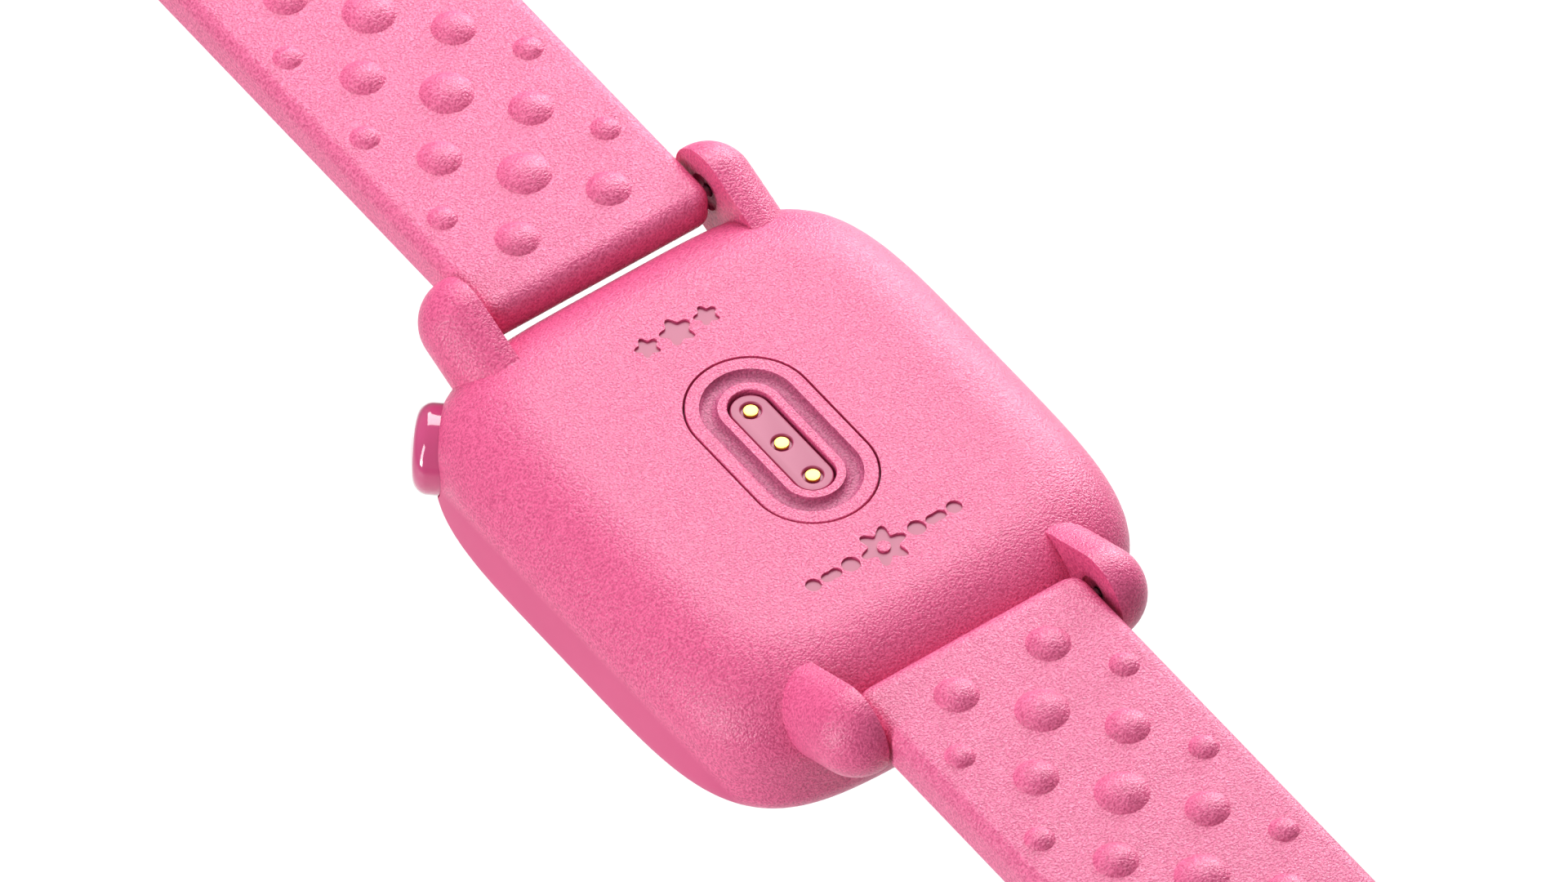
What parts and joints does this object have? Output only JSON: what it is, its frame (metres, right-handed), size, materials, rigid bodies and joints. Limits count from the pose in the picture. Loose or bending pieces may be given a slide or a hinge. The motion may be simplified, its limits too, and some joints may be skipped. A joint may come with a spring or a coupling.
{
  "type": "fitness tracker band",
  "caption": "Child's smartwatch with a rounded square case, lugged two-piece domed strap, pin buckle, corner button and a charging port on the wrist side.",
  "frame": {"origin": "centre of the outer face of the cover glass, which the watch lies on", "axes": "+Z out of the wrist side of the case, +Y along the strap towards the buckle, +X across the strap"},
  "size_m": [0.039, 0.2256, 0.0142],
  "materials": {
    "case_plastic": "fine leather grain",
    "strap_rubber": "fine leather grain, soft touch",
    "button_plastic": "polished",
    "carrier_plastic": "satin",
    "contact_gold": "gold plated",
    "cover_glass": "polished, black printed border",
    "display": "dark panel",
    "buckle_steel": "brushed",
    "bar_steel": "turned",
    "magnet_nickel": "nickel plated",
    "frame_metal": "die cast",
    "circuit_board": "solder mask",
    "flex_film": "polyimide film",
    "cell_foil": "pouch foil",
    "switch_plastic": "moulded",
    "seal_rubber": "matte"
  },
  "bodies": {
    "case": {"rear_housing": "case_plastic", "charging_insert": "case_plastic", "front_bezel": "case_plastic", "insert_gasket": "seal_rubber", "lens_gasket": "seal_rubber", "button_seal": "seal_rubber", "contact_carrier": "carrier_plastic", "charging_contact_1": "contact_gold", "charging_contact_2": "contact_gold", "charging_contact_3": "contact_gold", "charger_magnet_1": "magnet_nickel", "charger_magnet_2": "magnet_nickel", "contact_flex": "flex_film", "cover_lens": "cover_glass", "display_panel": "display", "inner_frame": "frame_metal", "frame_screw_1": "bar_steel", "frame_screw_2": "bar_steel", "frame_screw_3": "bar_steel", "frame_screw_4": "bar_steel", "main_board": "circuit_board", "shield_can": "frame_metal", "battery_cell": "cell_foil", "vibration_motor": "magnet_nickel", "tactile_switch": "switch_plastic", "spring_bar_tube_upper": "bar_steel", "spring_bar_tube_lower": "bar_steel", "spring_bar_pin_upper_left": "bar_steel", "spring_bar_pin_upper_right": "bar_steel", "spring_bar_pin_lower_left": "bar_steel", "spring_bar_pin_lower_right": "bar_steel"},
    "button": {"button_cap": "button_plastic", "button_clip": "bar_steel"},
    "upper_strap": {"upper_strap": "strap_rubber", "fixed_keeper": "strap_rubber"},
    "lower_strap": {"lower_strap": "strap_rubber"},
    "keeper": {"sliding_keeper": "strap_rubber"},
    "buckle": {"buckle_frame": "buckle_steel", "buckle_bar": "bar_steel"},
    "tongue": {"buckle_tongue": "buckle_steel"}
  },
  "joints": [
    {"name": "upper_strap_hinge", "type": "hinge", "parent": "case", "child": "upper_strap", "pos_m": [0, 0.0235, 0.0107], "axis": [1, 0, 0], "range_deg": [-60, 100]},
    {"name": "lower_strap_hinge", "type": "hinge", "parent": "case", "child": "lower_strap", "pos_m": [0, -0.0235, 0.0107], "axis": [-1, 0, 0], "range_deg": [-60, 100]},
    {"name": "button_press", "type": "slide", "parent": "case", "child": "button", "axis": [0.7431, -0.6691, 0], "range_m": [0, 0.0005], "stiffness_N_per_m": 1000, "springref_m": -0.0005},
    {"name": "keeper_slide", "type": "slide", "parent": "upper_strap", "child": "keeper", "axis": [0, 1, 0], "range_m": [-0.011, 0.0025]},
    {"name": "buckle_hinge", "type": "hinge", "parent": "upper_strap", "child": "buckle", "pos_m": [0, 0.0915, 0.0107], "axis": [1, 0, 0], "range_deg": [-75, 75]},
    {"name": "tongue_hinge", "type": "hinge", "parent": "buckle", "child": "tongue", "pos_m": [0, 0.0915, 0.0107], "axis": [-1, 0, 0], "range_deg": [0, 95]}
  ]
}
